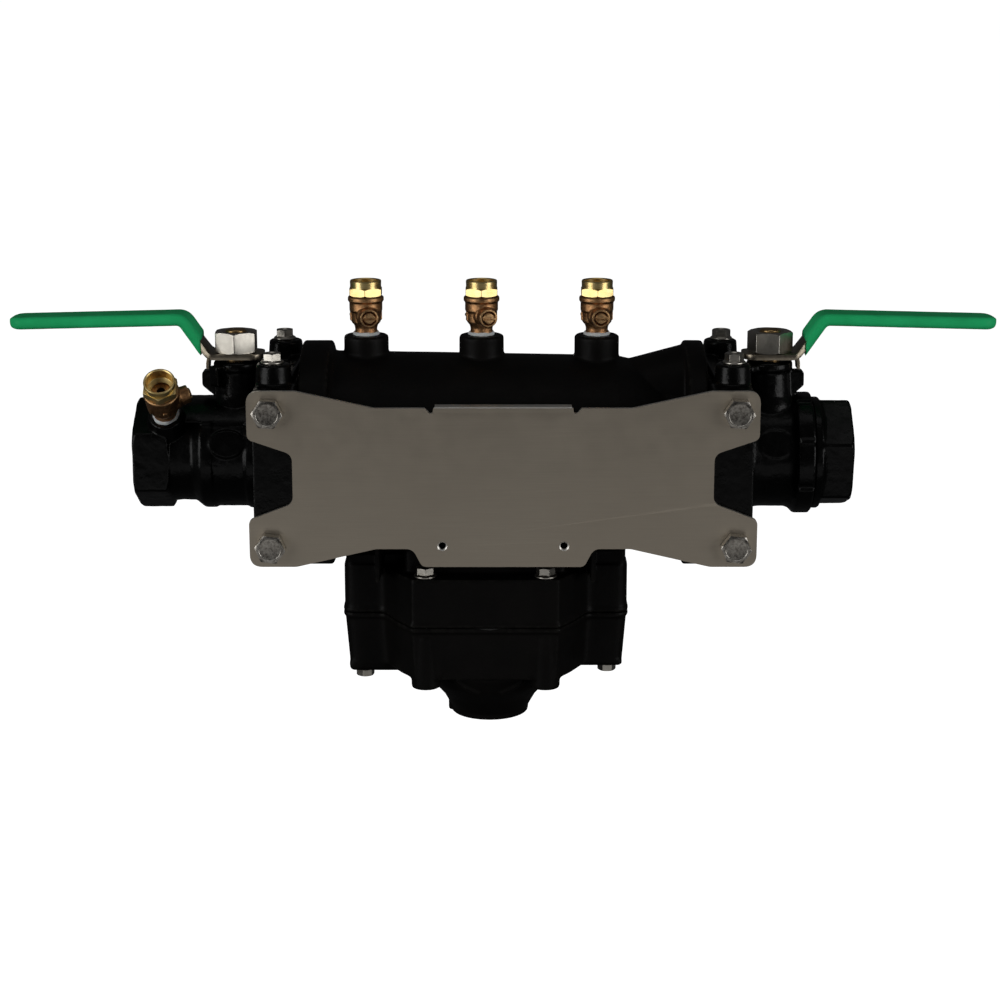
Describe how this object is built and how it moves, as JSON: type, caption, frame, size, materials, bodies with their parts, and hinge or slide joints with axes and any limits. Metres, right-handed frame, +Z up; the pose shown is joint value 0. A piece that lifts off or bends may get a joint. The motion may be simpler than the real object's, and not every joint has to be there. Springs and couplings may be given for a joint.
{
  "type": "backflow preventer",
  "caption": "Reduced-pressure-zone backflow preventer: black moulded body with a relief valve below, tied between lever ball valves by steel side plates, with brass test cocks on top.",
  "frame": {"origin": "centre of the inlet port's face, on the pipe axis", "axes": "+X along the pipe with the flow, +Z up towards the test cocks, -Y towards the front plate"},
  "size_m": [0.604, 0.165, 0.2766],
  "materials": {
    "black_composite": "moulded, fine texture, half matt",
    "black_epoxy_casting": "glossy black epoxy over a sand casting",
    "plate_steel": "rolled sheet, satin",
    "stainless_steel": "bright, lightly brushed",
    "brass": "machined, bright",
    "bronze": "cast and tumbled",
    "green_vinyl": "dipped vinyl, half gloss",
    "white_acetal": "moulded",
    "rubber": "moulded",
    "chrome_ball": "polished"
  },
  "bodies": {
    "fixed_parts": {"main_body": "black_composite", "relief_cover": "black_composite", "inlet_valve_body": "black_epoxy_casting", "inlet_valve_tail": "black_epoxy_casting", "outlet_valve_body": "black_epoxy_casting", "outlet_end_cap": "black_epoxy_casting", "inlet_yoke": "black_epoxy_casting", "outlet_yoke": "black_epoxy_casting", "front_plate": "plate_steel", "back_plate": "plate_steel", "front_plate_bolt_inlet_upper": "stainless_steel", "front_plate_bolt_inlet_lower": "stainless_steel", "inlet_yoke_bolt_front": "stainless_steel", "back_plate_bolt_inlet_upper": "stainless_steel", "back_plate_bolt_inlet_lower": "stainless_steel", "inlet_yoke_bolt_back": "stainless_steel", "front_plate_bolt_outlet_upper": "stainless_steel", "front_plate_bolt_outlet_lower": "stainless_steel", "outlet_yoke_bolt_front": "stainless_steel", "back_plate_bolt_outlet_upper": "stainless_steel", "back_plate_bolt_outlet_lower": "stainless_steel", "outlet_yoke_bolt_back": "stainless_steel", "cover_bolt_inlet_front": "stainless_steel", "cover_bolt_inlet_back": "stainless_steel", "cover_bolt_inlet_side": "stainless_steel", "cover_bolt_outlet_front": "stainless_steel", "cover_bolt_outlet_back": "stainless_steel", "cover_bolt_outlet_side": "stainless_steel", "test_cock_1_body": "bronze", "test_cock_1_adapter": "brass", "test_cock_2_body": "bronze", "test_cock_2_adapter": "brass", "test_cock_3_body": "bronze", "test_cock_3_adapter": "brass", "test_cock_4_body": "bronze", "test_cock_4_adapter": "brass", "first_check_cage": "white_acetal", "second_check_cage": "white_acetal", "first_check_spring": "stainless_steel", "second_check_spring": "stainless_steel", "relief_diaphragm": "rubber", "relief_spring": "stainless_steel", "relief_seat": "brass"},
    "inlet_handle": {"inlet_lever": "stainless_steel", "inlet_grip": "green_vinyl", "inlet_lever_nut": "stainless_steel", "inlet_valve_stem": "brass", "inlet_ball": "chrome_ball"},
    "outlet_handle": {"outlet_lever": "stainless_steel", "outlet_grip": "green_vinyl", "outlet_lever_nut": "stainless_steel", "outlet_valve_stem": "brass", "outlet_ball": "chrome_ball"},
    "first_check": {"first_check_poppet": "white_acetal"},
    "second_check": {"second_check_poppet": "white_acetal"},
    "relief_valve": {"relief_stem": "brass"},
    "test_cock_1": {"test_cock_1_stem": "bronze"},
    "test_cock_2": {"test_cock_2_stem": "bronze"},
    "test_cock_3": {"test_cock_3_stem": "bronze"},
    "test_cock_4": {"test_cock_4_stem": "bronze"}
  },
  "joints": [
    {"name": "inlet_handle_turn", "type": "hinge", "parent": "fixed_parts", "child": "inlet_handle", "pos_m": [0.062, 0, 0.06], "axis": [0, 0, 1], "range_deg": [-90, 0]},
    {"name": "outlet_handle_turn", "type": "hinge", "parent": "fixed_parts", "child": "outlet_handle", "pos_m": [0.39, 0, 0.06], "axis": [0, 0, 1], "range_deg": [-90, 0]},
    {"name": "first_check_open", "type": "slide", "parent": "fixed_parts", "child": "first_check", "axis": [1, 0, 0], "range_m": [0, 0.014], "stiffness_N_per_m": 1500, "springref_m": -0.025, "deforming": ["first_check_spring"]},
    {"name": "second_check_open", "type": "slide", "parent": "fixed_parts", "child": "second_check", "axis": [1, 0, 0], "range_m": [0, 0.014], "stiffness_N_per_m": 1500, "springref_m": -0.025, "deforming": ["second_check_spring"]},
    {"name": "relief_valve_close", "type": "slide", "parent": "fixed_parts", "child": "relief_valve", "axis": [0, 0, 1], "range_m": [-0.008, 0], "stiffness_N_per_m": 1500, "springref_m": 0.02, "deforming": ["relief_spring", "relief_diaphragm"]},
    {"name": "test_cock_1_turn", "type": "hinge", "parent": "fixed_parts", "child": "test_cock_1", "pos_m": [0.021, -0.03473, 0.03857], "axis": [0.9093, 0.3093, 0.2785], "range_deg": [0, 90]},
    {"name": "test_cock_2_turn", "type": "hinge", "parent": "fixed_parts", "child": "test_cock_2", "pos_m": [0.142, 0, 0.0865], "axis": [0.179, -0.9838, 0], "range_deg": [0, 90]},
    {"name": "test_cock_3_turn", "type": "hinge", "parent": "fixed_parts", "child": "test_cock_3", "pos_m": [0.2128, 0, 0.0865], "axis": [0.2764, -0.9611, 0], "range_deg": [0, 90]},
    {"name": "test_cock_4_turn", "type": "hinge", "parent": "fixed_parts", "child": "test_cock_4", "pos_m": [0.2835, 0, 0.0865], "axis": [0.1197, -0.9928, 0], "range_deg": [0, 90]}
  ]
}
